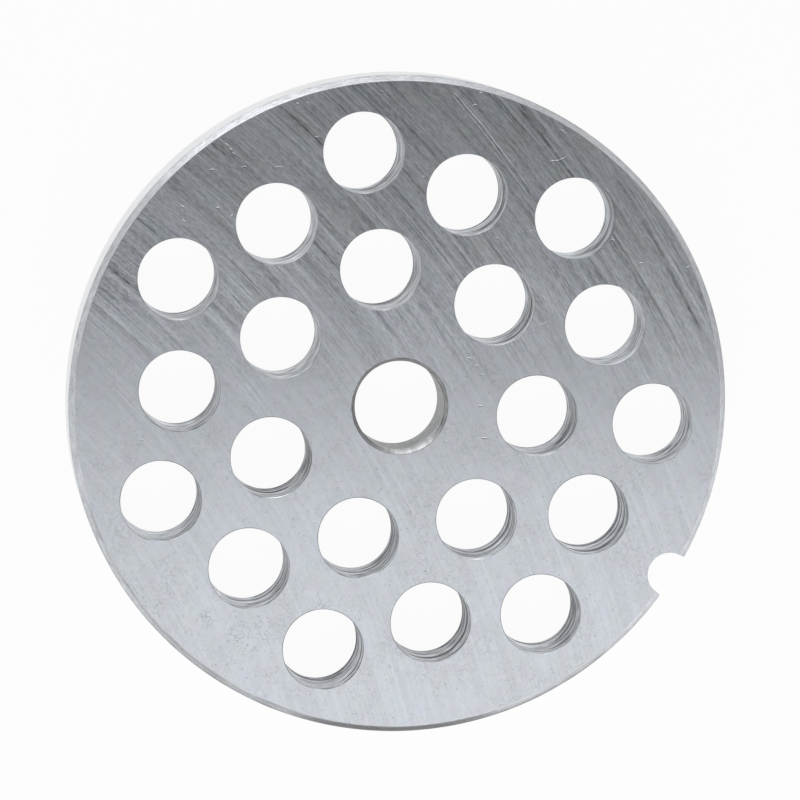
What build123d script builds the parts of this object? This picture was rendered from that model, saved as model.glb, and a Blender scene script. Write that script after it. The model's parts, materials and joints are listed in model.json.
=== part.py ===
from build123d import *
from math import asin, ceil, cos, pi, radians, sin, sqrt
import os

# Meat grinder plate: the drilled round plate that the knife turns against at the mouth of a
# grinder. It is one piece of steel, turned, drilled and then ground flat on both faces.
# It lies on its back face. Z points out of the cutting face, and the origin is on the axis of
# the bore, level with the back face. Lengths are millimetres and angles are degrees.

# Blank
plate_diameter = 98.0
plate_thickness = 9.7
rim_chamfer = 0.9

# Bore, which runs on the pin at the end of the feed screw
bore_diameter = 13.4
bore_chamfer = 0.5
bore_land = 4.0

# Working holes. A land is the least metal between a hole and the rim or the bore, and a web is
# the metal between a hole and its nearest neighbours in the ring outside it.
hole_diameter = 12.0
rim_land = 5.0
outer_web = 4.55
inner_web = 4.85
pattern_turn = 2.1

# Notch in the rim, which drops over a pin in the grinder's mouth and stops the plate turning
notch_diameter = 6.6
notch_inset = 0.8
notch_corner_radius = 0.4
notch_angle = -90.0

# Radii and pitches that follow from the sizes above
plate_radius = plate_diameter / 2
bore_radius = bore_diameter / 2
hole_radius = hole_diameter / 2
outer_pitch = hole_diameter + outer_web
inner_pitch = hole_diameter + inner_web
notch_centre_radius = plate_radius - notch_inset

# The outer ring lies one land inside the rim. It has as few holes as still let the next ring
# nest in its gaps, one pitch from the holes on either side.
outer_ring_radius = plate_radius - rim_land - hole_radius
holes_per_ring = ceil(pi / asin(outer_pitch / outer_ring_radius))
half_step = 180 / holes_per_ring


def nested_ring_radius(ring_radius, pitch):
    """Radius of a ring turned by half a step, with each hole one pitch from two of this ring."""
    gap_centre = ring_radius * cos(radians(half_step))
    gap_half_width = ring_radius * sin(radians(half_step))
    return gap_centre - sqrt(pitch**2 - gap_half_width**2)


def ring_fits(ring_radius):
    """True where a ring keeps its holes one pitch apart and one land away from the bore."""
    hole_spacing = 2 * ring_radius * sin(radians(half_step))
    return hole_spacing >= inner_pitch and ring_radius >= bore_radius + bore_land + hole_radius


# Rings are nested inwards for as long as the next one fits
ring_radii = [outer_ring_radius]
next_ring_radius = nested_ring_radius(outer_ring_radius, outer_pitch)
while ring_fits(next_ring_radius):
    ring_radii.append(next_ring_radius)
    next_ring_radius = nested_ring_radius(next_ring_radius, inner_pitch)

with BuildPart() as grinder_plate:
    # Turned blank: half its section, with both edges of the rim and of the bore chamfered
    with BuildSketch(Plane.XZ):
        with BuildLine():
            Polyline(
                (bore_radius, bore_chamfer),
                (bore_radius + bore_chamfer, 0),
                (plate_radius - rim_chamfer, 0),
                (plate_radius, rim_chamfer),
                (plate_radius, plate_thickness - rim_chamfer),
                (plate_radius - rim_chamfer, plate_thickness),
                (bore_radius + bore_chamfer, plate_thickness),
                (bore_radius, plate_thickness - bore_chamfer),
                close=True,
            )
        make_face()
    revolve(axis=Axis.Z)

    # Working holes, drilled straight through. Every second ring has a hole in line with the
    # notch, but for the small turn of the whole pattern.
    cutting_face = Plane.XY.offset(plate_thickness)
    for ring_number, ring_radius in enumerate(ring_radii, start=1):
        first_angle = notch_angle + pattern_turn + ring_number * half_step
        with Locations(cutting_face):
            with PolarLocations(ring_radius, holes_per_ring, start_angle=first_angle):
                Hole(hole_radius)

    # Notch: a round cut that opens through the rim, with its two corners broken. Everything
    # outside this outline is milled away, and the turned rim stays as it is elsewhere.
    with BuildSketch() as outline:
        Circle(plate_radius)
        with PolarLocations(notch_centre_radius, 1, start_angle=notch_angle) as notch_place:
            Circle(notch_diameter / 2, mode=Mode.SUBTRACT)
        notch_centre = notch_place.locations[0].position
        notch_corners = outline.vertices().sort_by_distance(notch_centre)[:2]
        fillet(notch_corners, radius=notch_corner_radius)
    extrude(amount=plate_thickness, mode=Mode.INTERSECT)

grinder_plate.part.label = "grinder_plate"

os.makedirs("parts", exist_ok=True)
export_step(grinder_plate.part, "parts/grinder_plate.step")
print("holes per ring:", holes_per_ring)
print("ring radii:", [round(radius, 2) for radius in ring_radii])
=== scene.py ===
# %% [markdown]
# # A meat grinder plate
# A grinder plate is the drilled steel disc at the mouth of a meat grinder. A knife turns against
# its ground face and cuts the meat that the feed screw pushes into the holes. The plate is one
# piece of steel, so this lesson makes one closed mesh and gives each surface the finish of the
# operation that made it: turned rim, drilled holes, bored centre, ground faces.
# The imported CAD model is the frame that everything is measured from. It is loaded first, and its
# box is kept.

# %% Load the imported model
import json
import math

import bpy
import numpy as np
from mathutils import Matrix, Vector
from mathutils.geometry import delaunay_2d_cdt


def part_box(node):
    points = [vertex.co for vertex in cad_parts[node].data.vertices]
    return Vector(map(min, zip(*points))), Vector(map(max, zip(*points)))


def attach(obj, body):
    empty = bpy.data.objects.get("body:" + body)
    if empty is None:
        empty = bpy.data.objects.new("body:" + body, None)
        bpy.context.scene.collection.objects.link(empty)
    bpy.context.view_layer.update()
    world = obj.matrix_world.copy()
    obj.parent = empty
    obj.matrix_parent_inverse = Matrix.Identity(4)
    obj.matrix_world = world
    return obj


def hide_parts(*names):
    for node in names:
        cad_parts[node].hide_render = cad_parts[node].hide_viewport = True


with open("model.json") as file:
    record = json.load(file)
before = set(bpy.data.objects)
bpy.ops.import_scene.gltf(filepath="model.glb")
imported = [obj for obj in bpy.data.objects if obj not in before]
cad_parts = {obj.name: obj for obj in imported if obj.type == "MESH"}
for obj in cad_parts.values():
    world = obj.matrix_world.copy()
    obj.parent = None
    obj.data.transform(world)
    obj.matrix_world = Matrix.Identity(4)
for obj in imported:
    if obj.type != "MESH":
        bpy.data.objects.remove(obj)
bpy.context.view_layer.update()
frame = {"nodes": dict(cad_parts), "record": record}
MM = 0.001

# %% [markdown]
# ## Sizes
# The plate's sizes are already in the frame, so they are read from it and not written twice. The
# record gives the bore, the length of the rim between its chamfers and the place of each hole.
# What it leaves out is measured on the CAD mesh: its corners lie exactly on the round edges, so
# the nearest corner to a hole's axis is one hole radius away.

# %% Read the sizes of the plate
NODE = "grinder_plate"
record = frame["record"]
mounts = {mount["name"]: mount for mount in record["mounts"]}
openings = {opening["name"]: np.array(opening["box_m"]) for opening in record["physics"]["openings"]}
lowest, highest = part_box(NODE)

plate_thickness = highest.z - lowest.z
plate_radius = mounts["rim"]["dims"]["r_mm"] * MM
rim_chamfer = (plate_thickness - mounts["rim"]["dims"]["length_mm"] * MM) / 2
bore_radius = mounts["bore"]["dims"]["r_mm"] * MM
bore_chamfer = (plate_thickness - mounts["bore"]["dims"]["length_mm"] * MM) / 2
hole_centres = np.array([box.mean(0)[:2] for name, box in openings.items() if "_hole_" in name])
notch_centre = np.array(mounts["locating_notch"]["pos_m"][:2])

cad_corners = np.empty(3 * len(frame["nodes"][NODE].data.vertices), np.float32)
frame["nodes"][NODE].data.vertices.foreach_get("co", cad_corners)
cad_corners = cad_corners.reshape(-1, 3)


def nearest_corner(centre):
    """Distance from an upright axis to the nearest corner of the CAD mesh."""
    return float(np.hypot(*(cad_corners[:, :2] - centre).T).min())


hole_radius = nearest_corner(hole_centres[0])
notch_radius = nearest_corner(notch_centre)
notch_distance = float(np.hypot(*notch_centre))
horn_radius = 0.4 * MM
edge_break = 0.05 * MM
print(f"{len(hole_centres)} holes of {2 * hole_radius / MM:.2f} mm, "
      f"notch of {2 * notch_radius / MM:.2f} mm, rim chamfer {rim_chamfer / MM:.2f} mm")

# %% [markdown]
# ## Camera
# The photograph looks down on the plate, tilted a few degrees off its axis. The camera is placed
# by the point that it aims at, its distance, and three angles: how far it leans from the plate's
# axis, towards which side, and which way is up in the picture. It comes first, because it also
# turns a spot in the photograph into a place on the plate.

# %% Place the camera
aim = Vector((0.78 * MM, 0.50 * MM, plate_thickness))
camera_distance = 725.1 * MM
camera_lean = math.radians(9.82)
lean_bearing = math.radians(76.9)
picture_up_bearing = math.radians(32.62)
backwards = Vector((math.sin(camera_lean) * math.cos(lean_bearing),
                    math.sin(camera_lean) * math.sin(lean_bearing), math.cos(camera_lean)))
rightwards = Vector((math.cos(picture_up_bearing), math.sin(picture_up_bearing), 0)).cross(backwards)
rightwards.normalize()
upwards = backwards.cross(rightwards)
camera = bpy.data.objects.new("camera", bpy.data.cameras.new("camera"))
camera.matrix_world = (Matrix.Translation(aim + camera_distance * backwards)
                       @ Matrix((rightwards, upwards, backwards)).transposed().to_4x4())
camera.data.lens = 220.6
camera.data.clip_end = 50.0
bpy.context.scene.collection.objects.link(camera)
bpy.context.scene.camera = camera
picture_down = Vector((-upwards.x, -upwards.y, 0)).normalized()
across_picture = math.atan2(rightwards.y, rightwards.x)
print("camera at, in mm:", [round(x / MM, 1) for x in camera.location])

# %% Turn picture positions into places on the cutting face
PICTURE_SIDE = 800


def on_face(spots):
    """Places on the cutting face that are seen at `spots`, in pixels from the picture's left and
    top: the line of sight through each spot is followed down to the height of the face."""
    off_centre = (np.asarray(spots, float) + 0.5) / PICTURE_SIDE - 0.5
    off_centre = off_centre * camera.data.sensor_width / camera.data.lens
    sight = off_centre @ np.array([rightwards, -upwards]) - np.array(backwards)
    eye = np.array(camera.location)
    return eye[:2] + sight[..., :2] * ((plate_thickness - eye[2]) / sight[..., 2:])


print("picture centre on the face, in mm:", (on_face([[399.5, 399.5]]) / MM).round(2))

# %% [markdown]
# ## Surfaces as grids
# Every wall of the plate is a profile carried round an axis, so each one is a grid: its rows go
# down the profile and its columns go round. A turned edge is never quite sharp. The tool or the
# stone takes off a few hundredths of a millimetre, and that thin flat is what catches the light
# along an edge, so each corner of a profile is cut back by a small edge break.

# %% Build profiles and the faces between rows


def break_corners(corners, size):
    """Cuts each inner corner of a polyline: it becomes the two points that lie `size` before and
    after it. The first and last points only give the directions there, and are left out."""
    corners = np.asarray(corners, float)
    run = np.diff(corners, axis=0)
    way = run / np.linalg.norm(run, axis=1, keepdims=True)
    inner = corners[1:-1]
    return np.stack([inner - size * way[:-1], inner + size * way[1:]], 1).reshape(-1, 2)


def divide(profile, step):
    """Adds points along a polyline, so that no two rows are more than `step` apart."""
    lengths = np.linalg.norm(np.diff(profile, axis=0), axis=1)
    parts = np.maximum(np.ceil(lengths / step).astype(int), 1)
    runs = [np.linspace(a, b, n, endpoint=False) for a, b, n in zip(profile, profile[1:], parts)]
    return np.concatenate(runs + [profile[-1:]])


def ring_quads(index):
    """Quads between neighbouring rows of an index grid, its last column joined to its first.
    With rows going down and columns going anticlockwise, they face away from the axis."""
    upper, lower = index[..., :-1, :], index[..., 1:, :]
    quads = [upper, lower, np.roll(lower, -1, -1), np.roll(upper, -1, -1)]
    return np.stack(quads, -1).reshape(-1, 4)


# %% [markdown]
# ## Rim and notch
# The rim is turned first and the notch is milled through it afterwards, so the notch's wall is
# upright and cuts straight through both chamfers. Each row of the rim is therefore a circle of
# its own radius, left where it meets one fixed notch outline: a horn arc, the round notch and the
# other horn arc. The outline is a formula in one parameter, so a row can join it at any point.

# %% Work out the notch outline
NOTCH_STRETCH = 4.0
horn_axis_radius = plate_radius - horn_radius
horn_reach = notch_radius + horn_radius
horn_x = (horn_axis_radius**2 + notch_distance**2 - horn_reach**2) / (2 * notch_distance)
horn_y = math.sqrt(horn_axis_radius**2 - horn_x**2)
horn_angle = math.atan2(horn_y, horn_x)
mouth_angle = math.atan2(horn_y, horn_x - notch_distance)
horn_turn = horn_angle - (mouth_angle - math.pi)
mouth_radius = math.hypot(notch_distance + notch_radius * math.cos(mouth_angle),
                          notch_radius * math.sin(mouth_angle))


def notch_outline(t):
    """Point of the notch outline, with x along the notch's own radius of the plate.
    From 0 to 1 it turns round the first horn, then it goes round the notch, and the last 1 goes
    round the second horn. The second half mirrors the first in y."""
    half = 1 + NOTCH_STRETCH / 2
    side = np.where(t <= half, 1.0, -1.0)
    t = np.where(t <= half, t, 2 * half - t)
    horn = horn_angle - np.clip(t, 0, 1) * horn_turn
    notch = mouth_angle + (np.clip(t, 1, half) - 1) / (half - 1) * (math.pi - mouth_angle)
    on_horn = np.stack([horn_x + horn_radius * np.cos(horn), horn_y + horn_radius * np.sin(horn)], -1)
    on_notch = np.stack([notch_distance + notch_radius * np.cos(notch),
                         notch_radius * np.sin(notch)], -1)
    point = np.where((t < 1)[..., None], on_horn, on_notch)
    point[..., 1] *= side
    return point


def notch_meets(radius):
    """Parameter at which the first half of the notch outline is `radius` away from the plate's
    axis. It follows from the law of cosines, on the horn's circle or on the notch's."""
    on_horn = (radius**2 - horn_axis_radius**2 - horn_radius**2) / (2 * horn_axis_radius * horn_radius)
    on_notch = (radius**2 - notch_distance**2 - notch_radius**2)
    on_notch = on_notch / (2 * notch_distance * notch_radius)
    horn = np.arccos(np.clip(on_horn, -1, 1)) / horn_turn
    notch = (np.arccos(np.clip(on_notch, -1, 1)) - mouth_angle) / (math.pi - mouth_angle)
    return np.where(radius > mouth_radius, horn, 1 + notch * NOTCH_STRETCH / 2)


# %% Make the rim grid
RIM_COLUMNS = 512
RIM_ROW_STEP = 0.3 * MM
NOTCH_COLUMNS = 96
rim_profile = divide(break_corners([
    (plate_radius - 2 * rim_chamfer, plate_thickness),
    (plate_radius - rim_chamfer, plate_thickness),
    (plate_radius, plate_thickness - rim_chamfer),
    (plate_radius, rim_chamfer),
    (plate_radius - rim_chamfer, 0),
    (plate_radius - 2 * rim_chamfer, 0),
], edge_break), RIM_ROW_STEP)


def rim_grid(profile):
    """Rows of the rim: each is a circle of the profile's radius, from one side of the notch round
    to the other, closed by the part of the notch outline that lies inside that radius."""
    radius, height = profile.T
    start = notch_meets(radius)
    first = notch_outline(start)
    mouth = np.arctan2(first[:, 1], first[:, 0])
    turn = mouth[:, None] + (2 * math.pi - 2 * mouth)[:, None] * np.linspace(0, 1, RIM_COLUMNS + 1)
    on_rim = radius[:, None, None] * np.stack([np.cos(turn), np.sin(turn)], -1)
    back = 2 + NOTCH_STRETCH - start
    share = np.linspace(0, 1, NOTCH_COLUMNS + 1)[1:-1]
    in_notch = notch_outline(back[:, None] + (start - back)[:, None] * share)
    flat = np.concatenate([on_rim, in_notch], 1)
    outward = notch_centre / notch_distance
    sideways = np.array([-outward[1], outward[0]])
    place = flat[..., :1] * outward + flat[..., 1:] * sideways
    return np.dstack([place, np.broadcast_to(height[:, None], turn.shape[:1] + flat.shape[1:2])])


rim = rim_grid(rim_profile)
print("rim grid, rows and columns:", rim.shape[:2])

# %% [markdown]
# ## Drilled holes
# A drill never leaves a perfectly smooth wall. Where it paused to clear its chips, or chattered,
# it cut a shallow ring, and those rings are the light and dark bands on the walls. Each hole here
# gets a few rings of its own, cut outwards into the metal, so the hole is never smaller than its
# drill. A ring is a bell curve down the wall, and it leans a little, because drills wander.

# %% Make the hole grids
HOLE_COLUMNS = 76
HOLE_ROW_STEP = 0.26 * MM
RINGS_PER_HOLE = 5
DEEPEST_RING = 0.06 * MM
hole_edge_break = 0.10 * MM
ring_random = np.random.default_rng(32)
wall_profile = divide(break_corners([
    (2 * hole_radius, plate_thickness),
    (hole_radius, plate_thickness),
    (hole_radius, 0),
    (2 * hole_radius, 0),
], hole_edge_break), HOLE_ROW_STEP)


def drill_rings(height, turn):
    """Depth of the drill's rings on every wall: a sum of bell curves about the height of each
    ring, where that height itself rises and falls once round the hole. They fade out towards
    both faces."""
    draws = (len(hole_centres), RINGS_PER_HOLE, 1, 1)
    level = ring_random.uniform(0.04, 0.80, draws) * plate_thickness
    width = ring_random.uniform(0.25, 0.60, draws) * MM
    depth = ring_random.uniform(0.25, 1.0, draws) * DEEPEST_RING
    lean = ring_random.uniform(0.0, 0.6, draws) * MM
    heading = ring_random.uniform(0, 2 * math.pi, draws)
    away = height[:, None] - level - lean * np.cos(turn - heading)
    fade = np.clip(np.minimum(height, plate_thickness - height) / (0.5 * MM) - 0.2, 0, 1)
    return (depth * np.exp(-((away / width) ** 2))).sum(1) * fade[:, None]


def hole_grids():
    """Rows and columns of every hole wall, going clockwise, so that they face the hole's axis."""
    radius, height = wall_profile.T
    rings = drill_rings(height, hole_turn)
    reach = radius[:, None] + rings
    flat = reach[..., None] * np.stack([np.cos(hole_turn), np.sin(hole_turn)], -1)
    place = hole_centres[:, None, None] + flat
    height = np.broadcast_to(height[:, None], rings.shape)
    return np.concatenate([place, height[..., None]], -1), rings


hole_turn = -2 * math.pi * np.arange(HOLE_COLUMNS) / HOLE_COLUMNS
holes, rings = hole_grids()
print("hole grids:", holes.shape[:3], f"deepest ring {rings.max() / MM:.3f} mm")

# %% [markdown]
# ## Bore
# The bore runs on the pin of the feed screw, so it is reamed smooth and its edges are chamfered.
# It needs no rings, only its profile carried round the plate's axis.

# %% Make the bore grid
BORE_COLUMNS = 128
BORE_ROW_STEP = 0.15 * MM
bore_profile = divide(break_corners([
    (bore_radius + 2 * bore_chamfer, plate_thickness),
    (bore_radius + bore_chamfer, plate_thickness),
    (bore_radius, plate_thickness - bore_chamfer),
    (bore_radius, bore_chamfer),
    (bore_radius + bore_chamfer, 0),
    (bore_radius + 2 * bore_chamfer, 0),
], edge_break), BORE_ROW_STEP)
bore_turn = -2 * math.pi * np.arange(BORE_COLUMNS) / BORE_COLUMNS
bore = np.stack([
    bore_profile[:, :1] * np.cos(bore_turn),
    bore_profile[:, :1] * np.sin(bore_turn),
    np.broadcast_to(bore_profile[:, 1:], (len(bore_profile), BORE_COLUMNS)),
], -1)
print("bore grid, rows and columns:", bore.shape[:2])

# %% [markdown]
# ## Scars
# Knives, pins and drawers have scratched the cutting face. A scar is a thin groove with a V
# section: two slopes that meet along a lowered middle line. One slope turns the reflection
# towards the lamp and the other away from it, so a scar reads as a bright line where the face is
# dark and as a dark line where the face is bright. The scars that stand out are placed where the
# photograph shows them, each with its half width and its depth, and a few dozen small ones are
# scattered. A scar that would meet an edge or another scar is left out.

# %% Shape the scars
PAIR_UPPER = [(448, 86), (456, 95), (463, 103), (471, 113), (480, 123), (489, 135), (501, 151),
              (512, 165), (524, 182), (534, 197)]
PAIR_LOWER = [(447, 88), (454, 98), (461, 107), (473, 120), (481, 130), (491, 143), (499, 154),
              (507, 167), (520, 185), (530, 200)]
BOW = [(547, 160.5), (553, 160.6), (558, 160), (563, 158), (568, 154.5)]
DASH = [(481, 437.0), (482.5, 437.5), (484, 437.7), (485.7, 437.6), (487.4, 437.2)]
SCARS_BY_PHOTO = [(PAIR_UPPER, 0.14 * MM, 0.018 * MM), (PAIR_LOWER, 0.13 * MM, 0.016 * MM),
                  (BOW, 0.11 * MM, 0.018 * MM), (DASH, 0.14 * MM, 0.024 * MM)]
NICKS = [(474.5, 105), (480.5, 93), (226, 145), (230, 148.5), (233, 153), (243.5, 167), (211, 168.5),
         (182.5, 205), (183.5, 220.5), (231, 215.5), (217, 206.5), (307.5, 102), (297, 103.5),
         (381.5, 91.5), (640.5, 263), (687, 267), (480, 405), (446, 441), (612, 240),
         (469, 358), (476.5, 365.5), (482, 374)]
NICK_HALF_WIDTH = 0.12 * MM
NICK_DEPTH = 0.020 * MM
SCATTERED = 110
SCAR_SPACING = 2.1 * MM
CLEAR_OF_EDGES = 0.2 * MM
CLEAR_OF_NOTCH = 4 * horn_radius
scar_random = np.random.default_rng(7)


def groove(line, half_width, depth):
    """Corners of a V groove along a line: its two ends, then the left side, the right side and the
    middle of its inner points. The middle points lie `depth` under the face."""
    way = line[2:] - line[:-2]
    way = way / np.linalg.norm(way, axis=1, keepdims=True)
    side = half_width * np.stack([-way[:, 1], way[:, 0]], 1)
    inner = line[1:-1]
    flat = np.concatenate([line[[0, -1]], inner + side, inner - side, inner])
    drop = np.repeat([plate_thickness, plate_thickness - depth], [len(flat) - len(inner), len(inner)])
    return np.column_stack([flat, drop])


def groove_borders(first, count):
    """Edges of a groove whose corners are numbered from `first` and that has `count` inner points:
    its left side, right side and middle, each from one end to the other."""
    rows = [range(first + 2 + k * count, first + 2 + (k + 1) * count) for k in range(3)]
    return [pair for row in rows for pair in zip([first, *row], [*row, first + 1])]


def clear_of_edges(line):
    """True where every point of a line keeps its distance from the holes, the bore and the rim."""
    from_holes = np.linalg.norm(line[:, None] - hole_centres, axis=2).min()
    from_notch = np.linalg.norm(line - notch_centre, axis=1).min()
    from_axis = np.linalg.norm(line, axis=1)
    return (from_holes > hole_radius + CLEAR_OF_EDGES
            and from_notch > notch_radius + CLEAR_OF_NOTCH
            and from_axis.min() > bore_radius + bore_chamfer + CLEAR_OF_EDGES
            and from_axis.max() < plate_radius - rim_chamfer - CLEAR_OF_EDGES)


# %% Place the scars
placed = [(on_face(spots), half_width, depth) for spots, half_width, depth in SCARS_BY_PHOTO]
bend_share = np.array([[0.0], [0.7], [1.0], [0.7], [0.0]])
for spot in on_face(NICKS):
    turn = across_picture + scar_random.uniform(-0.9, 0.9)
    reach = scar_random.uniform(0.22, 0.42) * MM * np.array([math.cos(turn), math.sin(turn)])
    bend = scar_random.uniform(-0.5, 0.5) * np.array([-reach[1], reach[0]])
    line = spot + np.linspace(-1, 1, 5)[:, None] * reach + bend_share * bend
    placed.append((line, NICK_HALF_WIDTH, NICK_DEPTH))
scars = [groove(*scar) for scar in placed if clear_of_edges(scar[0])]
print("placed scars:", len(scars), "of", len(placed))

taken = np.concatenate([line for line, _, _ in placed])
for _ in range(SCATTERED):
    spot = scar_random.uniform(-1, 1, 2) * plate_radius
    turn = scar_random.uniform(0, math.pi)
    reach = scar_random.uniform(0.12, 1.1) * MM * np.array([math.cos(turn), math.sin(turn)])
    bend = scar_random.normal(0, 0.15) * np.array([-reach[1], reach[0]])
    line = np.array([spot - reach, spot + bend, spot + reach])
    half_width, depth = scar_random.uniform((0.05, 0.010), (0.09, 0.025)) * MM
    if clear_of_edges(line) and np.linalg.norm(line[:, None] - taken, axis=2).min() > SCAR_SPACING:
        scars.append(groove(line, half_width, depth))
        taken = np.concatenate([taken, line])
print("scars in all:", len(scars))

# %% [markdown]
# ## Ground faces
# Both faces are flat and bounded by the first and last rows of the walls. A constrained Delaunay
# triangulation fills the area between those loops with triangles that share their corners with
# the walls, so the plate is closed with no seam. It also fills the holes and the notch, so the
# triangles whose middle lies inside one of them are dropped. On the cutting face the edges of the
# scars are borders too. The faces are shaded flat, so that the slopes of a scar stay crisp, and
# the walls smooth, with a hard edge wherever two faces meet at more than a small angle.

# %% Number the corners
rim_index = np.arange(rim[..., 0].size).reshape(rim.shape[:2])
hole_index = np.arange(holes[..., 0].size).reshape(holes.shape[:3]) + rim_index.size
bore_index = np.arange(bore[..., 0].size).reshape(bore.shape[:2]) + rim_index.size + hole_index.size
walls = np.concatenate([rim.reshape(-1, 3), holes.reshape(-1, 3), bore.reshape(-1, 3)])
points = np.concatenate([walls, *scars])
loop_sizes = np.array([rim.shape[1]] + [HOLE_COLUMNS] * len(holes) + [BORE_COLUMNS])
scar_starts = loop_sizes.sum() + np.cumsum([0] + [len(scar) for scar in scars[:-1]])
scar_borders = [pair for first, scar in zip(scar_starts.tolist(), scars)
                for pair in groove_borders(first, (len(scar) - 2) // 3)]
print("corners:", len(points), "scar edges:", len(scar_borders))

# %% Fill the faces
loop_ends = np.cumsum(loop_sizes)
following = np.arange(loop_ends[-1]) + 1
following[loop_ends - 1] = loop_ends - loop_sizes
loop_borders = np.stack([np.arange(loop_ends[-1]), following], 1).tolist()
cut_centres = np.concatenate([hole_centres, [notch_centre], [[0, 0]]])
cut_radii = np.array([wall_profile[0, 0]] * len(hole_centres) + [notch_radius, bore_profile[0, 0]])


def fill_face(corners, borders):
    """Triangles between the loops of a face, as corner numbers, anticlockwise seen from above. Those
    whose middle is nearer to a hole's axis than its edge are left out."""
    flat = points[corners, :2]
    filled = delaunay_2d_cdt(flat.tolist(), borders, [], 0, 1e-9)
    assert len(filled[0]) == len(flat), "two scars cross"
    triangles = np.array(filled[2])
    middles = flat[triangles].mean(1)
    inside = np.linalg.norm(middles[:, None] - cut_centres, axis=2) < cut_radii
    triangles = triangles[~inside.any(1)]
    a, b = (flat[triangles[:, k]] - flat[triangles[:, 0]] for k in (1, 2))
    clockwise = a[:, 0] * b[:, 1] < a[:, 1] * b[:, 0]
    triangles[clockwise] = triangles[clockwise][:, ::-1]
    return corners[triangles]


top_loops = np.concatenate([rim_index[0], hole_index[:, 0].ravel(), bore_index[0]])
back_loops = np.concatenate([rim_index[-1], hole_index[:, -1].ravel(), bore_index[-1]])
scar_corners = np.arange(len(walls), len(points))
cutting_face = fill_face(np.concatenate([top_loops, scar_corners]), loop_borders + scar_borders)
back_face = fill_face(back_loops, loop_borders)
print("triangles on the cutting face and the back:", len(cutting_face), len(back_face))

# %% Join the surfaces into one mesh


def add_mesh(name, corners, faces):
    """New mesh object of these corners and faces, linked to the scene."""
    mesh = bpy.data.meshes.new(name)
    mesh.from_pydata(corners, [], faces)
    thing = bpy.data.objects.new(name, mesh)
    bpy.context.scene.collection.objects.link(thing)
    return thing


SHARP_ANGLE = math.radians(18)
rim_levels = np.abs(rim_profile[:, 1] - plate_thickness / 2)
on_chamfer = rim_levels[1:] + rim_levels[:-1] > plate_thickness - 2 * rim_chamfer
bore_levels = np.abs(bore_profile[:, 1] - plate_thickness / 2)
on_bore_chamfer = bore_levels[1:] + bore_levels[:-1] > plate_thickness - 2 * bore_chamfer
rim_quads = ring_quads(rim_index).reshape(len(on_chamfer), -1, 4)
bore_quads = ring_quads(bore_index).reshape(len(on_bore_chamfer), -1, 4)
surfaces = {
    "ground_face": np.concatenate([cutting_face, back_face[:, ::-1]]),
    "turned_rim": rim_quads[~on_chamfer].reshape(-1, 4),
    "rim_chamfer": rim_quads[on_chamfer].reshape(-1, 4),
    "drilled_wall": ring_quads(hole_index),
    "reamed_bore": bore_quads[~on_bore_chamfer].reshape(-1, 4),
    "bore_chamfer": bore_quads[on_bore_chamfer].reshape(-1, 4),
}
polygons = [corners for surface in surfaces.values() for corners in surface.tolist()]
slot_numbers = np.repeat(np.arange(len(surfaces)), [len(surface) for surface in surfaces.values()])
plate = add_mesh("plate", points.tolist(), polygons)
plate_mesh = plate.data
plate_mesh.polygons.foreach_set("material_index", slot_numbers)
plate_mesh.shade_smooth()
plate_mesh.set_sharp_from_angle(angle=SHARP_ANGLE)
plate_mesh.polygons.foreach_set("use_smooth", slot_numbers > 0)
plate_mesh.calc_loop_triangles()
print(f"plate: {len(points)} points, {len(plate_mesh.loop_triangles)} triangles")

# %% [markdown]
# ## Where the marks run
# Tool marks follow the tool, not the room. On the walls they run round the axis of each hole, so
# every corner keeps its place relative to that axis in an attribute, in millimetres. Each hole is
# also moved far along the axis, so no two holes show the same marks. On the faces the marks come
# from Object coordinates and need no attribute.

# %% Store the turning coordinates
HOLE_SPACING_IN_PATTERN = 40.0
turning = points / MM
hole_turning = (holes - np.pad(hole_centres, ((0, 0), (0, 1)))[:, None, None]) / MM
hole_turning[..., 2] += HOLE_SPACING_IN_PATTERN * (1 + np.arange(len(holes)))[:, None, None]
turning[hole_index.ravel()] = hole_turning.reshape(-1, 3)
plate_mesh.attributes.new("turning", "FLOAT_VECTOR", "POINT")
plate_mesh.attributes["turning"].data.foreach_set("vector", turning.astype(np.float32).ravel())
print("turning coordinates from", turning.min().round(1), "to", turning.max().round(1))

# %% [markdown]
# ## Painted shade, painted highlights and wear
# Two more attributes darken and brighten the colour of the walls. The first is mostly painted shade.
# In a hole it darkens the drill's rings and the wall towards the back edge, more in the holes on the
# near side, and one side of every wall and the front edge on another side. On the rim it is a
# painted dark line along the corners of the chamfer, and the chamfer is a little darker all round,
# more at a few places round it, each given by an angle in the picture, how much darker and how
# narrow. On the bore it is two thin dark rings. The second is bright, bare metal along the inner
# edge of the rim, which knocks and pins have rubbed, and painted highlights on the front edges of
# the holes, on the rim's inner corner and on one side of the bore's chamfer. Both are uneven round
# the axis, and that unevenness is a sum of a few cosines.

# %% Write the shapes of painted shade, painted highlights and wear
age_random = np.random.default_rng(12)


def uneven(turn, waves, count):
    """Smooth random values from 0 to 1 round an axis, one row for each of `count`: cosines with
    `waves` waves to a turn, of random height and start, added and then folded by a sine."""
    height = age_random.uniform(0.4, 1.0, (count, len(waves), 1))
    start = age_random.uniform(0, 2 * math.pi, (count, len(waves), 1))
    total = (height * np.cos(np.array(waves)[:, None] * turn + start)).sum(1)
    return 0.5 + 0.5 * np.sin(1.5 * total)


def near_corner(profile, radius, height, reach):
    """One at a corner of a profile, falling to nothing over `reach` as a bell curve, for each row."""
    away = np.hypot(profile[:, 0] - radius, profile[:, 1] - height)
    return np.exp(-((away / reach) ** 2))[:, None]


def facing(turn, picture_angle, power):
    """One where the bearing `turn` points along an angle of the picture, counted anticlockwise in
    degrees from its right side, and zero on the opposite side: a raised cosine to a power."""
    bearing = across_picture + math.radians(picture_angle)
    return (0.5 + 0.5 * np.cos(turn - bearing)) ** power
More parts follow.
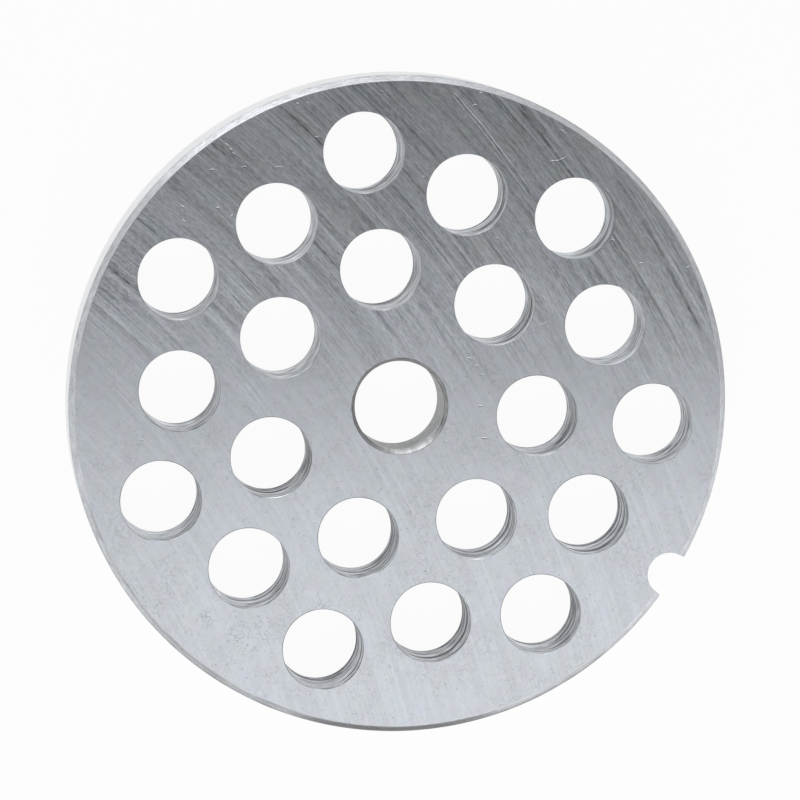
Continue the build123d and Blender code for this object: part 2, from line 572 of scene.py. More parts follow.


# %% Work out the painted shade and painted highlights of the holes
RING_SHADE = 0.38
FOOT_SHADE = 0.32
SIDE_SHADE = 0.22
LIP_SHADE = 0.6
toward_near_side = np.clip(0.5 + hole_centres @ np.array(picture_down)[:2] / plate_radius * 0.7, 0.2, 1.0)
toward_near_side = toward_near_side[:, None, None]
foot_height = age_random.uniform(0.8, 1.8, (len(holes), 1, 1)) * MM
foot = np.exp(-((wall_profile[:, 1][:, None] / foot_height) ** 2))
foot = foot * (0.2 + 0.8 * uneven(hole_turn, (1, 3, 7), len(holes))[:, None])
# Painted shade on the hole walls: darker in the drill's rings and towards the back edge, more in the
# holes on the near side, on one side of every wall and along the front edge on another side.
hole_painted_shade = (RING_SHADE * rings / DEEPEST_RING + FOOT_SHADE * foot) * toward_near_side
hole_painted_shade = hole_painted_shade + SIDE_SHADE * facing(hole_turn, -5, 1.5)
hole_front = near_corner(wall_profile, hole_radius, plate_thickness, hole_edge_break)
hole_painted_shade = np.clip(hole_painted_shade + LIP_SHADE * hole_front * facing(hole_turn, 135, 2), 0, 1)
# Painted highlight: the front edge of every hole is brightened on one side, unevenly round it.
hole_painted_highlight = hole_front * facing(hole_turn, -45, 1) * uneven(hole_turn, (2, 5, 11), len(holes))[:, None]
print("holes: soil up to", hole_painted_shade.max().round(2), "and wear up to", hole_painted_highlight.max().round(2))

# %% Work out the painted shade, darkening, wear and painted highlight of the rim
EVEN_DARKENING = 0.02
DARKER_SPOTS = [(12, 0.18, 70), (35, 0.15, 12), (62, 0.07, 90), (97, 0.13, 60), (135, 0.07, 40),
              (238, 0.28, 60), (300, 0.25, 90)]
rim_turn = np.arctan2(rim[0, :, 1], rim[0, :, 0])
inner_radius = plate_radius - rim_chamfer
outer_corner = near_corner(rim_profile, plate_radius, plate_thickness - rim_chamfer, 0.25 * MM)
inner_corner = near_corner(rim_profile, inner_radius, plate_thickness, 0.35 * MM)
# Painted shade: a dark line along the outer corner of the chamfer, strongest on the near side, and along
# its inner corner on one side.
rim_painted_shade = outer_corner * (0.15 + 0.65 * facing(rim_turn, -90, 8))
rim_painted_shade = rim_painted_shade + inner_corner * 0.6 * facing(rim_turn, -130, 10)
rim_painted_shade = rim_painted_shade * (0.4 + 0.6 * uneven(rim_turn, (5, 17, 31), 1))
# The upper chamfer is a little darker all round, and darker still at a few places.
on_edge = np.clip((rim_profile[:, 1] - plate_thickness + rim_chamfer) / edge_break + 1, 0, 1)[:, None]
rim_chamfer_darkening = EVEN_DARKENING + sum(depth * facing(rim_turn, angle, power) for angle, depth, power in DARKER_SPOTS)
rim_painted_shade = rim_painted_shade + on_edge * rim_chamfer_darkening
rim_wear_and_highlight = near_corner(rim_profile, inner_radius, plate_thickness, 0.08 * MM)
rim_wear_and_highlight = 0.7 * rim_wear_and_highlight * uneven(rim_turn, (3, 8, 23), 1)
# Painted highlight: the rim's inner corner is brightened on the near side, on top of the worn edge.
lit_corner = near_corner(rim_profile, inner_radius, plate_thickness, 0.55 * MM)
rim_wear_and_highlight = np.clip(rim_wear_and_highlight + 0.6 * lit_corner * facing(rim_turn, -82, 14), 0, 1)
print("rim: soil up to", rim_painted_shade.max().round(2), "and wear up to", rim_wear_and_highlight.max().round(2))

# %% [markdown]
# The bore's chamfer is brightened on one side only, a painted highlight that is broken into patches. On
# the other side both edges of the chamfer are darker, as two thin dark rings.

# %% Work out the painted highlight and dark rings of the bore and store both attributes
HIGHLIGHT_DEPTH = 2.6 * MM
RING_REACH = 0.14 * MM
RING_DARKNESS = 0.70
# Painted highlight: one side of the bore's chamfer and the wall just under it are brightened, in patches.
bore_front = np.clip(1.6 - 1.6 * (plate_thickness - bore_chamfer - bore_profile[:, 1]) / HIGHLIGHT_DEPTH, 0, 1)
highlight_side = np.clip(1.8 * facing(bore_turn, -74, 8) - 0.25, 0, 1)
bore_painted_highlight = bore_front[:, None] * highlight_side * (0.35 + 0.65 * uneven(bore_turn, (9, 21, 37), 1))
# Darker rings along both edges of the chamfer, on the side without the highlight.
bore_dark_rings = (near_corner(bore_profile, bore_radius + bore_chamfer, plate_thickness, RING_REACH)
             + near_corner(bore_profile, bore_radius, plate_thickness - bore_chamfer, RING_REACH))
bore_dark_rings = RING_DARKNESS * bore_dark_rings * (0.3 + 0.7 * uneven(bore_turn, (7, 16, 29), 1)) * (1 - highlight_side)

# The first attribute carries painted shade with the darker spots and rings, the second wear and painted
# highlights.
for name, (on_rim, on_holes, on_bore) in {
        "soil_and_shade": (rim_painted_shade, hole_painted_shade, bore_dark_rings),
        "wear_and_highlight": (rim_wear_and_highlight, hole_painted_highlight, bore_painted_highlight)}.items():
    values = np.zeros(len(points), np.float32)
    values[rim_index], values[hole_index], values[bore_index] = on_rim, on_holes, on_bore
    plate_mesh.attributes.new(name, "FLOAT", "POINT")
    plate_mesh.attributes[name].data.foreach_set("value", values)
    print(name, "from", values.min(), "to", values.max(), "mean", values.mean().round(3))

# %% [markdown]
# ## Node helpers
# A material is a small graph. A few helpers keep it readable: one adds a node and fills its
# sockets, some do arithmetic, and one starts a node group with named inputs and outputs.

# %% Write the node helpers


def fill(tree, node, sockets):
    """Gives each named input of a node a plain value, or links it to an output socket."""
    for name, value in sockets.items():
        if isinstance(value, bpy.types.NodeSocket):
            tree.links.new(value, node.inputs[name])
        else:
            node.inputs[name].default_value = value
    return node


def put(tree, kind, sockets=None, **settings):
    """Adds a shader node with its own options, `settings`, and its inputs filled by `sockets`."""
    node = tree.nodes.new("ShaderNode" + kind)
    for name, value in settings.items():
        setattr(node, name, value)
    return fill(tree, node, sockets or {})


def calculate(tree, operation, *values):
    """Output of a Math node on one to three numbers or sockets."""
    return put(tree, "Math", dict(enumerate(values)), operation=operation).outputs[0]


def scale_vector(tree, vector, factors):
    """Output of a Vector Math node that multiplies a vector part by part."""
    return put(tree, "VectorMath", {0: vector, 1: factors}, operation="MULTIPLY").outputs[0]


def remap(tree, value, low, high, new_low, new_high):
    """Output of a Map Range node with its ends held."""
    sockets = {"Value": value, "From Min": low, "From Max": high,
               "To Min": new_low, "To Max": new_high}
    return put(tree, "MapRange", sockets).outputs["Result"]


def noise(tree, place, scale, detail):
    """Output of a Noise Texture: from 0 to 1, mostly near one half."""
    sockets = {"Vector": place, "Scale": scale, "Detail": detail, "Roughness": 0.6}
    return put(tree, "TexNoise", sockets).outputs["Fac"]


def noise_swing(tree, place, detail):
    """The same noise spread evenly about zero, mostly from -1 to 1."""
    return calculate(tree, "MULTIPLY_ADD", noise(tree, place, 1.0, detail), 4.0, -2.0)


def mix_colours(tree, share, first, second):
    """Output of a Mix node between two colours."""
    sockets = {0: share, 6: first, 7: second}
    return put(tree, "Mix", sockets, data_type="RGBA").outputs[2]


def start_group(name, inputs, outputs):
    """New node group. `inputs` maps each name to its kind and first value, `outputs` to its kind.
    Returns the tree, the sockets that come in and the sockets that go out."""
    tree = bpy.data.node_groups.new(name, "ShaderNodeTree")
    for label, (kind, value) in inputs.items():
        socket = tree.interface.new_socket(name=label, in_out="INPUT", socket_type="NodeSocket" + kind)
        socket.default_value = value
    for label, kind in outputs.items():
        tree.interface.new_socket(name=label, in_out="OUTPUT", socket_type="NodeSocket" + kind)
    return tree, tree.nodes.new("NodeGroupInput").outputs, tree.nodes.new("NodeGroupOutput").inputs


def place_group(tree, group, sockets):
    """Places a node group in a material and returns its outputs."""
    return fill(tree, put(tree, "Group", node_tree=group), sockets).outputs


def empty_tree(owner):
    """Node tree of a new material or world, with its first nodes removed."""
    owner.use_nodes = True
    owner.node_tree.nodes.clear()
    return owner.node_tree


def start_material(name):
    """New material whose tree holds only a Principled BSDF on its output."""
    material = bpy.data.materials.new(name)
    tree = empty_tree(material)
    shader = put(tree, "BsdfPrincipled")
    put(tree, "OutputMaterial", {"Surface": shader.outputs["BSDF"]})
    return material, tree, shader


# %% [markdown]
# ## Tool marks
# Grinding, turning and drilling all leave the same kind of mark: lines that are long one way and
# narrow across it, bunched where the tool bit harder. One node group makes them for every surface.
# It squeezes the coordinates by the length and width of a line and reads noise there three times:
# for broad bundles, for fine lines, which show in patches, and for a short grain over everything.
# The bright end of the bundles is held down, because deep grooves are dark and the metal between
# them is only as bright as the rest.

# %% Make the tool marks group
tool_marks, given, made = start_group(
    "tool_marks",
    {"Position": ("Vector", (0, 0, 0)), "Bundles Per Millimetre": ("Vector", (1, 1, 1)),
     "Lines Per Millimetre": ("Vector", (3, 3, 3)), "Grains Per Millimetre": ("Vector", (5, 5, 5)),
     "Patch Size": ("Vector", (10, 10, 10)), "Bundles": ("Float", 0.4), "Lines": ("Float", 0.4),
     "Grain": ("Float", 0.2)},
    {"Marks": "Float"})
bundle_place = scale_vector(tool_marks, given["Position"], given["Bundles Per Millimetre"])
line_place = scale_vector(tool_marks, given["Position"], given["Lines Per Millimetre"])
grain_place = scale_vector(tool_marks, given["Position"], given["Grains Per Millimetre"])
patch_place = put(tool_marks, "VectorMath", {0: given["Position"], 1: given["Patch Size"]},
                  operation="DIVIDE").outputs[0]
patches = remap(tool_marks, noise(tool_marks, patch_place, 1.0, 1.0), 0.38, 0.60, 0.25, 1.0)
bundles = calculate(tool_marks, "MINIMUM", noise_swing(tool_marks, bundle_place, 2.0), 0.3)
total = calculate(tool_marks, "MULTIPLY", bundles, given["Bundles"])
lines = calculate(tool_marks, "MULTIPLY", noise_swing(tool_marks, line_place, 2.0), patches)
total = calculate(tool_marks, "MULTIPLY_ADD", lines, given["Lines"], total)
total = calculate(tool_marks, "MULTIPLY_ADD", noise_swing(tool_marks, grain_place, 1.0),
                  given["Grain"], total)
tool_marks.links.new(total, made["Marks"])
print("group", tool_marks.name, "with", len(tool_marks.nodes), "nodes")

# %% [markdown]
# ## Steel
# Ground tool steel reflects a little more blue than red. Its colour also drifts between bluish and
# neutral patches, from the film of oil and the polish of use, and an oil film a few hundred
# nanometres thick faintly tints small spots greenish or purplish. One group mixes the colour for
# every surface, darkens it by a mask for soil and painted shade and brightens it by a mask for bare,
# worn metal and painted highlights. The tint is the colour output of a noise, three noises in one,
# from which one half is taken away.

# %% Make the steel colour group
BARE_METAL_AND_HIGHLIGHT = (0.88, 0.89, 0.91, 1)
steel_colour, given, made = start_group(
    "steel_colour",
    {"Position": ("Vector", (0, 0, 0)), "Bright": ("Color", (0.585, 0.615, 0.665, 1)),
     "Dull": ("Color", (0.570, 0.592, 0.625, 1)), "Cloud Size": ("Float", 6.0),
     "Tint": ("Float", 0.08), "Marks": ("Float", 0.0), "Mark Contrast": ("Float", 0.05),
     "Soil And Shade": ("Float", 0.0), "Wear And Highlight": ("Float", 0.0)},
    {"Color": "Color"})
cloud_scale = calculate(steel_colour, "DIVIDE", 1.0, given["Cloud Size"])
clouds = noise(steel_colour, given["Position"], cloud_scale, 3.0)
cloud_mask = remap(steel_colour, clouds, 0.35, 0.65, 0.0, 1.0)
clouded = mix_colours(steel_colour, cloud_mask, given["Bright"], given["Dull"])
tint_scale = calculate(steel_colour, "MULTIPLY", cloud_scale, 3.0)
tints = put(steel_colour, "TexNoise", {"Vector": given["Position"], "Scale": tint_scale, "Detail": 1.0})
tints = put(steel_colour, "VectorMath", {0: tints.outputs["Color"], 1: (0.5, 0.5, 0.5)},
            operation="SUBTRACT").outputs[0]
tints = put(steel_colour, "VectorMath", {0: tints, "Scale": given["Tint"]}, operation="SCALE").outputs[0]
clouded = put(steel_colour, "VectorMath", {0: tints, 1: clouded, 2: clouded},
              operation="MULTIPLY_ADD").outputs[0]
lift = calculate(steel_colour, "MULTIPLY_ADD", given["Marks"], given["Mark Contrast"], 1.0)
keep = calculate(steel_colour, "SUBTRACT", 1.0, given["Soil And Shade"])
lift = calculate(steel_colour, "MULTIPLY", lift, keep)
lifted = put(steel_colour, "VectorMath", {0: clouded, "Scale": lift}, operation="SCALE").outputs[0]
worn_and_highlighted = mix_colours(steel_colour, given["Wear And Highlight"], lifted, BARE_METAL_AND_HIGHLIGHT)
steel_colour.links.new(worn_and_highlighted, made["Color"])
print("group", steel_colour.name, "with", len(steel_colour.nodes), "nodes")

# %% [markdown]
# ## The ground face
# The face is ground on a rotary grinder: the rim of a cup wheel sweeps across the plate and leaves
# long arcs, all about one far centre. The arcs are straight lines once the place is written as a
# distance along the sweep and a distance from its centre, so the tool marks are read there.

# %% Read the marks on the ground face
grinding_centre = Vector((-136.5, 63.6, 0))
ground_face, tree, shader = start_material("ground_face")
place = put(tree, "TexCoord").outputs["Object"]
place = scale_vector(tree, place, (1 / MM, 1 / MM, 1 / MM))
from_centre = put(tree, "VectorMath", {0: place, 1: grinding_centre}, operation="SUBTRACT").outputs[0]
flat_offset = scale_vector(tree, from_centre, (1, 1, 0))
split = put(tree, "SeparateXYZ", {"Vector": from_centre}).outputs
sweep_angle = calculate(tree, "ARCTAN2", split["Y"], split["X"])
along_sweep = calculate(tree, "MULTIPLY", sweep_angle, grinding_centre.length)
across_sweep = put(tree, "VectorMath", {0: flat_offset}, operation="LENGTH").outputs["Value"]
sweep = put(tree, "CombineXYZ", {"X": along_sweep, "Y": across_sweep, "Z": split["Z"]}).outputs[0]
marks = place_group(tree, tool_marks, {
    "Position": sweep, "Bundles Per Millimetre": (0.035, 0.85, 1.0),
    "Lines Per Millimetre": (0.035, 2.6, 3.0), "Grains Per Millimetre": (1.2, 4.2, 5.0),
    "Patch Size": (14.0, 4.0, 4.0), "Bundles": 0.75, "Lines": 1.15, "Grain": 0.6})["Marks"]
print("marks read about a centre", round(grinding_centre.length), "mm from the plate's axis")

# %% [markdown]
# A few deeper passes of the wheel stand out as dark streaks near one edge of the plate. Each is a
# soft mask between two spots of the photograph, with its half width in millimetres.

# %% Lay the dark streaks
STREAK_RAMP = 2.0
DARK_STREAKS = [
    ((514, 104), (536, 127), 0.25), ((534, 123), (553, 152), 0.20), ((611, 170), (642, 217), 0.30),
    ((638, 210), (668, 266), 0.35), ((664, 260), (686, 301), 0.30), ((683, 296), (701, 333), 0.25)]


def stroke(start, end, half_width):
    """Mask of a dark streak between two pixels: one over one plus the fourth power of the distance
    from the line through them, in half widths, times a ramp up at its start and down at its end."""
    first, last = on_face([start, end]) / MM
    run = Vector((last - first).tolist() + [0.0])
    middle = Vector(((first + last) / 2).tolist() + [0.0])
    half_length = run.length / 2
    run.normalize()
    offset = put(tree, "VectorMath", {0: place, 1: middle}, operation="SUBTRACT").outputs[0]
    along = put(tree, "VectorMath", {0: offset, 1: run}, operation="DOT_PRODUCT").outputs["Value"]
    across = put(tree, "VectorMath", {0: offset, 1: (-run.y, run.x, 0)}, operation="DOT_PRODUCT")
    share = calculate(tree, "DIVIDE", across.outputs["Value"], half_width)
    spread = calculate(tree, "ADD", calculate(tree, "POWER", share, 4.0), 1.0)
    full_length = half_length - STREAK_RAMP
    ends = remap(tree, calculate(tree, "ABSOLUTE", along), full_length, half_length, 1.0, 0.0)
    return calculate(tree, "DIVIDE", ends, spread)


streaks = 0.0
for start, end, half_width in DARK_STREAKS:
    streaks = calculate(tree, "ADD", stroke(start, end, half_width), streaks)
print("dark streaks:", len(DARK_STREAKS))

# %% [markdown]
# ## Film and stains
# One side of the face carries a dry film of grease and soap. It hides most of the grinding lines
# and is itself cloudy, with small dark pits and flecks in it and the outlines of dried drops. An
# outline is where a noise crosses one half: a thin closed curve. The drops that stand out lie
# where the photograph shows them, and a few patches of fainter ones are left to another noise.
# Broad faint lines along the sweep are polish, which the film doesn't hide.

# %% Read the film
FILM_STARTS = -16.0
FILM_IS_FULL = 0.0
FILM_WANDERS = 30.0
FILM_HIDES = 0.88
toward_film = put(tree, "VectorMath", {0: place, 1: picture_down}, operation="DOT_PRODUCT")
film_edge = calculate(tree, "MULTIPLY_ADD", noise(tree, place, 0.06, 3.0),
                      FILM_WANDERS, -FILM_WANDERS / 2)
film = calculate(tree, "ADD", toward_film.outputs["Value"], film_edge)
film = remap(tree, film, FILM_STARTS, FILM_IS_FULL, 0.0, 1.0)
mottles = remap(tree, noise(tree, place, 1.3, 4.0), 0.50, 0.75, 0.0, 0.09)
flecks = remap(tree, noise(tree, place, 2.2, 3.0), 0.62, 0.72, 0.0, 0.24)
left_clear = calculate(tree, "MULTIPLY_ADD", film, -FILM_HIDES, 1.0)
clear_marks = calculate(tree, "MULTIPLY", marks, left_clear)
print("film from", FILM_STARTS, "to", FILM_IS_FULL, "mm on the near side of the plate's axis")

# %% Read the pits, the drops and the polish
CELLS_WITHOUT_PIT = 0.85
LARGEST_PIT = 0.12
SMALLEST_PIT = 0.03
cells = put(tree, "TexVoronoi", {"Vector": place, "Scale": 0.8}, voronoi_dimensions="2D").outputs
pit_chance = put(tree, "SeparateColor", {"Color": cells["Color"]}).outputs["Red"]
pit_size = remap(tree, pit_chance, CELLS_WITHOUT_PIT, 1.0, SMALLEST_PIT, LARGEST_PIT)
has_pit = calculate(tree, "GREATER_THAN", pit_chance, CELLS_WITHOUT_PIT)
pit_size = calculate(tree, "MULTIPLY", pit_size, has_pit)
pits = calculate(tree, "GREATER_THAN", pit_size, cells["Distance"])

DROPS = [(240, 632, 2.8), (259, 632, 2.6), (248, 648, 2.0), (322, 604, 2.0), (205, 618, 2.0)]
drop_noise = noise(tree, place, 1.3, 0.4)
off_half = calculate(tree, "ABSOLUTE", calculate(tree, "SUBTRACT", drop_noise, 0.5))
outlines = remap(tree, off_half, 0.014, 0.060, 1.0, 0.0)
drop_patches = remap(tree, noise(tree, place, 0.16, 1.0), 0.50, 0.62, 0.0, 0.55)
for x, y, reach in DROPS:
    middle = (on_face([[x, y]])[0] / MM).tolist() + [plate_thickness / MM]
    away = put(tree, "VectorMath", {0: place, 1: middle}, operation="DISTANCE").outputs["Value"]
    patch = remap(tree, away, 0.5 * reach, reach, 1.0, 0.0)
    drop_patches = calculate(tree, "MAXIMUM", drop_patches, patch)
outlines = calculate(tree, "MULTIPLY", outlines, drop_patches)

polish_place = scale_vector(tree, sweep, (0.05, 1.1, 1.0))
polish_lines = remap(tree, noise(tree, polish_place, 1.0, 1.0), 0.56, 0.66, 0.0, 1.0)
print("drops placed by the photograph:", len(DROPS))

# %% [markdown]
# The marks tilt the surface a little and change its gloss. Because they all run one way, they draw
# the reflection out across them, which is what the shader's anisotropy does. The slopes of a scar
# also get painted light and shade in the colour: brighter on the side that faces the overhead panel
# and darker on the other.

# %% Finish the ground face material
OUTLINE_SOIL = 0.22
PIT_SOIL = 0.16
STREAK_SOIL = 0.38
STREAK_GRAIN = 0.15
SCAR_PAINTED_LIGHT = 5.0
POLISH_SHINE = 0.06
MARK_HEIGHT = 0.005 * MM
PIT_DROP = 2.0
soil_and_shade = calculate(tree, "MULTIPLY_ADD", outlines, OUTLINE_SOIL, calculate(tree, "ADD", mottles, flecks))
soil_and_shade = calculate(tree, "MULTIPLY_ADD", pits, PIT_SOIL, soil_and_shade)
soil_and_shade = calculate(tree, "MULTIPLY", soil_and_shade, film)
streak_depth = calculate(tree, "MULTIPLY_ADD", marks, -STREAK_GRAIN, STREAK_SOIL)
soil_and_shade = calculate(tree, "MULTIPLY_ADD", streaks, streak_depth, soil_and_shade)
# Painted light and shade on the scars: a slope that faces the near side, under the overhead panel, is
# brightened, and one that faces away is darkened.
slope_normal = put(tree, "TexCoord").outputs["Normal"]
slope = put(tree, "VectorMath", {0: slope_normal, 1: picture_down}, operation="DOT_PRODUCT")
shade = calculate(tree, "MULTIPLY_ADD", slope.outputs["Value"], SCAR_PAINTED_LIGHT, clear_marks)
shade = calculate(tree, "MULTIPLY_ADD", polish_lines, POLISH_SHINE, shade)
colour = place_group(tree, steel_colour, {
    "Position": place, "Marks": shade, "Mark Contrast": 0.44, "Soil And Shade": soil_and_shade})["Color"]
height = calculate(tree, "MULTIPLY_ADD", pits, -PIT_DROP, clear_marks)
bumps = put(tree, "Bump", {"Height": height, "Strength": 1.0, "Distance": MARK_HEIGHT})
outward = put(tree, "VectorMath", {0: flat_offset}, operation="NORMALIZE").outputs[0]
fill(tree, shader, {
    "Base Color": colour, "Metallic": 1.0, "Roughness": remap(tree, clear_marks, -1.0, 1.0, 0.37, 0.27),
    "Normal": bumps.outputs["Normal"], "Anisotropic": 0.5, "Tangent": outward})
print("material", ground_face.name, "with", len(tree.nodes), "nodes")

# %% [markdown]
# ## Walls
# The rim, the bore and the holes share one way of making: lines that run round the axis, read from
# the turning attribute, with painted shade, painted highlights, wear and darker spots from the two
# attributes of theirs. That darkening also takes away some of the metal and some of the gloss, and
# in the holes it is stronger in thin lines. The walls differ in how coarse the lines are and how
# dark the metal is. The bore is darkened by a film that reflects less at a flat angle than bare
# steel does.

# %% Make the wall materials
MOST_SOIL_AND_SHADE = 0.72
SOIL_AND_SHADE_DARKENS = 0.85
SOIL_AND_SHADE_ROUGHENS = 0.4
SOIL_AND_SHADE_COVERS_METAL = 0.8
GLOSS_SWING = 0.06


def wall_material(name, lines, roughness, depth, bright, dull, contrast, edge_tint=1.0, streaks=0.0):
    """Turned or drilled steel. `lines` is how many marks there are to a millimetre round and down
    the wall, `depth` their height and `contrast` their part in the colour. `edge_tint` is how much
    is reflected at a flat angle, compared with bare steel, and `streaks` how much stronger the
    darkening of painted shade and soil is in thin lines round the wall."""
    material, tree, shader = start_material(name)
    place = put(tree, "Attribute", attribute_name="turning").outputs["Vector"]
    soil_and_shade = put(tree, "Attribute", attribute_name="soil_and_shade").outputs["Fac"]
    wear_and_highlight = put(tree, "Attribute", attribute_name="wear_and_highlight").outputs["Fac"]
    streak_noise = noise(tree, scale_vector(tree, place, (0.08, 0.08, 1.1)), 1.0, 2.0)
    streak_share = remap(tree, streak_noise, 0.48, 0.38, 1.0, 1.0 + streaks)
    soil_and_shade = calculate(tree, "MINIMUM", calculate(tree, "MULTIPLY", soil_and_shade, streak_share), MOST_SOIL_AND_SHADE)
    marks = place_group(tree, tool_marks, {
        "Position": place, "Bundles Per Millimetre": (lines[0], lines[0], lines[1]),
        "Lines Per Millimetre": (3 * lines[0], 3 * lines[0], 3 * lines[1]),
        "Grains Per Millimetre": (8 * lines[0], 8 * lines[0], 5 * lines[1]),
        "Patch Size": (4.0, 4.0, 4.0), "Bundles": 0.4, "Lines": 0.80, "Grain": 0.55})["Marks"]
    colour = place_group(tree, steel_colour, {
        "Position": place, "Bright": bright, "Dull": dull, "Cloud Size": 3.0, "Marks": marks,
        "Mark Contrast": contrast, "Soil And Shade": calculate(tree, "MULTIPLY", soil_and_shade, SOIL_AND_SHADE_DARKENS),
        "Wear And Highlight": wear_and_highlight})["Color"]
    gloss = remap(tree, marks, -1.0, 1.0, roughness + GLOSS_SWING, roughness - GLOSS_SWING)
    bumps = put(tree, "Bump", {"Height": marks, "Strength": 1.0, "Distance": depth})
    fill(tree, shader, {
        "Base Color": colour, "Metallic": calculate(tree, "MULTIPLY_ADD", soil_and_shade, -SOIL_AND_SHADE_COVERS_METAL, 1.0),
        "Roughness": calculate(tree, "MULTIPLY_ADD", soil_and_shade, SOIL_AND_SHADE_ROUGHENS, gloss),
        "Normal": bumps.outputs["Normal"], "Specular Tint": (edge_tint, edge_tint, edge_tint, 1)})
    return material


turned_rim = wall_material("turned_rim", (0.03, 1.2), 0.28, 0.004 * MM,
                           (0.80, 0.81, 0.83, 1), (0.75, 0.76, 0.77, 1), 0.10)
rim_edge = wall_material("rim_chamfer", (0.20, 1.5), 0.32, 0.004 * MM,
                         (0.69, 0.71, 0.745, 1), (0.63, 0.65, 0.68, 1), 0.22)
drilled_wall = wall_material("drilled_wall", (0.06, 0.36), 0.36, 0.012 * MM,
                             (0.64, 0.672, 0.712, 1), (0.53, 0.555, 0.59, 1), 0.75, streaks=3.0)
reamed_bore = wall_material("reamed_bore", (0.20, 1.0), 0.30, 0.003 * MM,
                            (0.43, 0.44, 0.45, 1), (0.35, 0.36, 0.365, 1), 0.60, edge_tint=0.6)
bore_edge = wall_material("bore_chamfer", (0.15, 1.6), 0.42, 0.006 * MM,
                          (0.56, 0.56, 0.57, 1), (0.43, 0.43, 0.44, 1), 0.45)
for material in (ground_face, turned_rim, rim_edge, drilled_wall, reamed_bore, bore_edge):
    plate_mesh.materials.append(material)
print("materials:", [material.name for material in plate_mesh.materials])

# %% [markdown]
# ## Floor
# The plate lies on a white table. The floor's own brightness, seen by the camera and in
# reflections, keeps the background white without more light on the metal. The rest of it is
# ordinary matt white, which still takes the plate's soft shadow.

# %% Make the floor
FLOOR_SIDE = 12.0
OWN_LIGHT_SHARE = 0.95
floor_corners = FLOOR_SIDE / 2 * np.array([(-1, -1, 0), (1, -1, 0), (1, 1, 0), (-1, 1, 0)], float)
floor = add_mesh("floor", floor_corners.tolist(), [(0, 1, 2, 3)])

floor_material = bpy.data.materials.new("white_table")
tree = empty_tree(floor_material)
ray = put(tree, "LightPath").outputs
seen = calculate(tree, "MAXIMUM", ray["Is Camera Ray"], ray["Is Glossy Ray"])
seen = calculate(tree, "MAXIMUM", seen, ray["Is Transmission Ray"])
share = calculate(tree, "MULTIPLY", seen, OWN_LIGHT_SHARE)
matt = put(tree, "BsdfDiffuse", {"Color": (0.9, 0.9, 0.9, 1)}).outputs["BSDF"]
glow = put(tree, "Emission", {"Color": (1, 1, 1, 1), "Strength": 1.0}).outputs["Emission"]
mixed = put(tree, "MixShader", {0: share, 1: matt, 2: glow}).outputs[0]
put(tree, "OutputMaterial", {"Surface": mixed})
floor.data.materials.append(floor_material)
print("floor laid,", FLOOR_SIDE, "m square")

# %% [markdown]
# ## Light
# Polished metal shows whatever is around it, so its light is set by what it reflects. The room is
# light near the horizon and dim overhead. A large soft panel hangs over the side of the plate that
# is nearest in the picture. The near part of the face reflects the panel and the far part the dim
# room, which gives the face its even slope from dark to light. A second panel stands low beyond
# the far edge and lights the turned rim there.

# %% Set the room
ROOM_OVERHEAD = 0.24
ROOM_HORIZON = 1.0
ROOM_FALLOFF = 3.0
world = bpy.data.worlds.new("room")
bpy.context.scene.world = world
tree = empty_tree(world)
way = put(tree, "TexCoord").outputs["Generated"]
rise = put(tree, "SeparateXYZ", {"Vector": way}).outputs["Z"]
from_zenith = calculate(tree, "SUBTRACT", 1.0, calculate(tree, "MAXIMUM", rise, 0.0))
falloff = calculate(tree, "POWER", from_zenith, ROOM_FALLOFF)
strength = calculate(tree, "MULTIPLY_ADD", falloff, ROOM_HORIZON - ROOM_OVERHEAD, ROOM_OVERHEAD)
room = put(tree, "Background", {"Color": (1, 1, 1, 1), "Strength": strength}).outputs[0]
put(tree, "OutputWorld", {"Surface": room})
bpy.context.scene.view_settings.view_transform = "Standard"
print("room light from", ROOM_OVERHEAD, "overhead to", ROOM_HORIZON)

# %% Hang the lamps


def soft_panel(name, place, target, width, height, energy):
    """Rectangular area lamp at `place`, turned to face `target`. The camera doesn't see it."""
    lamp = bpy.data.lights.new(name, "AREA")
    lamp.shape = "RECTANGLE"
    lamp.size, lamp.size_y = width, height
    lamp.energy = energy
    panel = bpy.data.objects.new(name, lamp)
    panel.matrix_world = (Matrix.Translation(place)
                          @ (place - target).to_track_quat("Z", "Y").to_matrix().to_4x4())
    panel.visible_camera = False
    bpy.context.scene.collection.objects.link(panel)
    return panel


PANEL_HEIGHT = 0.20
PANEL_SIDE = 0.60
PANEL_EDGE = 0.0195
PANEL_ENERGY = 1.0
panel_middle = picture_down * (PANEL_EDGE + PANEL_SIDE / 2)
overhead = soft_panel("overhead_panel", panel_middle + Vector((0, 0, PANEL_HEIGHT)), panel_middle,
                      PANEL_SIDE, PANEL_SIDE, PANEL_ENERGY)
overhead.rotation_euler = (0, 0, math.atan2(picture_down.y, picture_down.x))

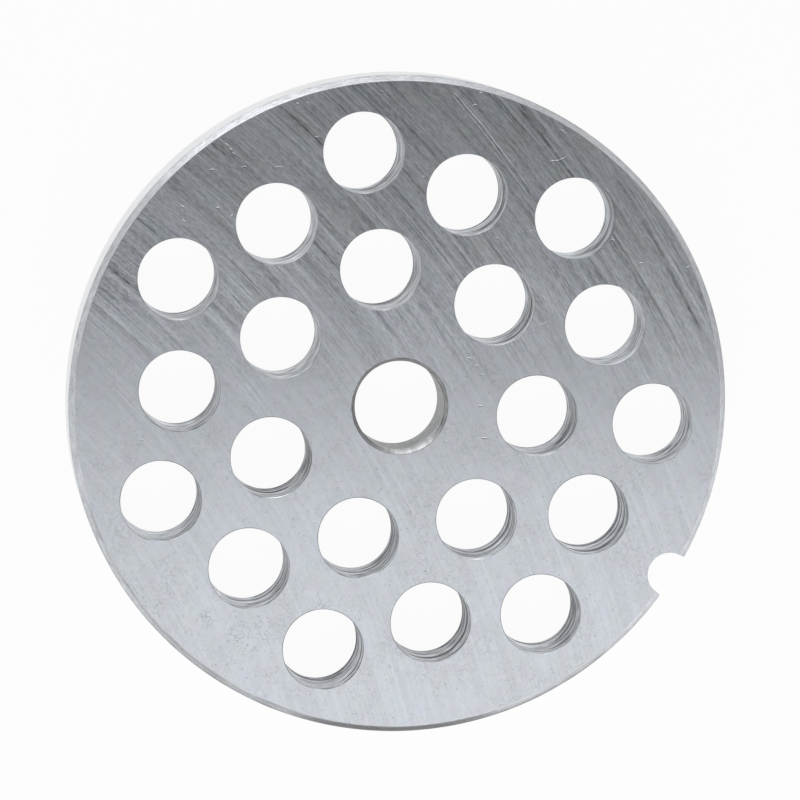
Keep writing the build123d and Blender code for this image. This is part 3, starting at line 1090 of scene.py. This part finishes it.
LOW_PANEL_DISTANCE = 0.80
LOW_PANEL_RISE = 0.16
LOW_PANEL_WIDTH = 0.9
LOW_PANEL_HEIGHT = 0.3
LOW_PANEL_ANGLE = 105
LOW_PANEL_ENERGY = 1.0
low_bearing = across_picture + math.radians(LOW_PANEL_ANGLE)
stand = Vector((math.cos(low_bearing), math.sin(low_bearing), 0)) * LOW_PANEL_DISTANCE
stand.z = LOW_PANEL_RISE
soft_panel("far_panel", stand, Vector((0, 0, 0)), LOW_PANEL_WIDTH, LOW_PANEL_HEIGHT, LOW_PANEL_ENERGY)
print("lamps hung:", [lamp.name for lamp in bpy.data.lights])

# %% [markdown]
# ## Dark card
# A small dark card stands on the table just out of the picture, below the plate and a little to
# one side. Only reflections see it. It gives the near edge of the rim the dark outline that it has
# in the photograph, because a bright chamfer on a bright table would have no edge at all.

# %% Stand the card
CARD_DISTANCE = 74.0 * MM
CARD_WIDTH = 46.0 * MM
CARD_HEIGHT = 25.0 * MM
CARD_SHIFT = 0.15
CARD_GREY = 0.13
card_side = Vector((-picture_down.y, picture_down.x, 0)) * CARD_WIDTH / 2
card_foot = picture_down * CARD_DISTANCE + card_side * CARD_SHIFT
card_top = Vector((0, 0, CARD_HEIGHT))
card_corners = [card_foot - card_side, card_foot + card_side,
                card_foot + card_side + card_top, card_foot - card_side + card_top]
card = add_mesh("dark_card", card_corners, [(0, 1, 2, 3)])
card.visible_camera = False
card.visible_diffuse = False
card.visible_shadow = False
card_material = bpy.data.materials.new("dark_card")
tree = empty_tree(card_material)
matt_grey = put(tree, "BsdfDiffuse", {"Color": (CARD_GREY, CARD_GREY, CARD_GREY, 1)})
put(tree, "OutputMaterial", {"Surface": matt_grey.outputs["BSDF"]})
card.data.materials.append(card_material)
print("card stands", round(CARD_DISTANCE / MM), "mm from the plate's axis")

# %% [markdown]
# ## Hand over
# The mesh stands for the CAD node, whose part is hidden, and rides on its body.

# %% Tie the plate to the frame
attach(plate, "root")
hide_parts(NODE)
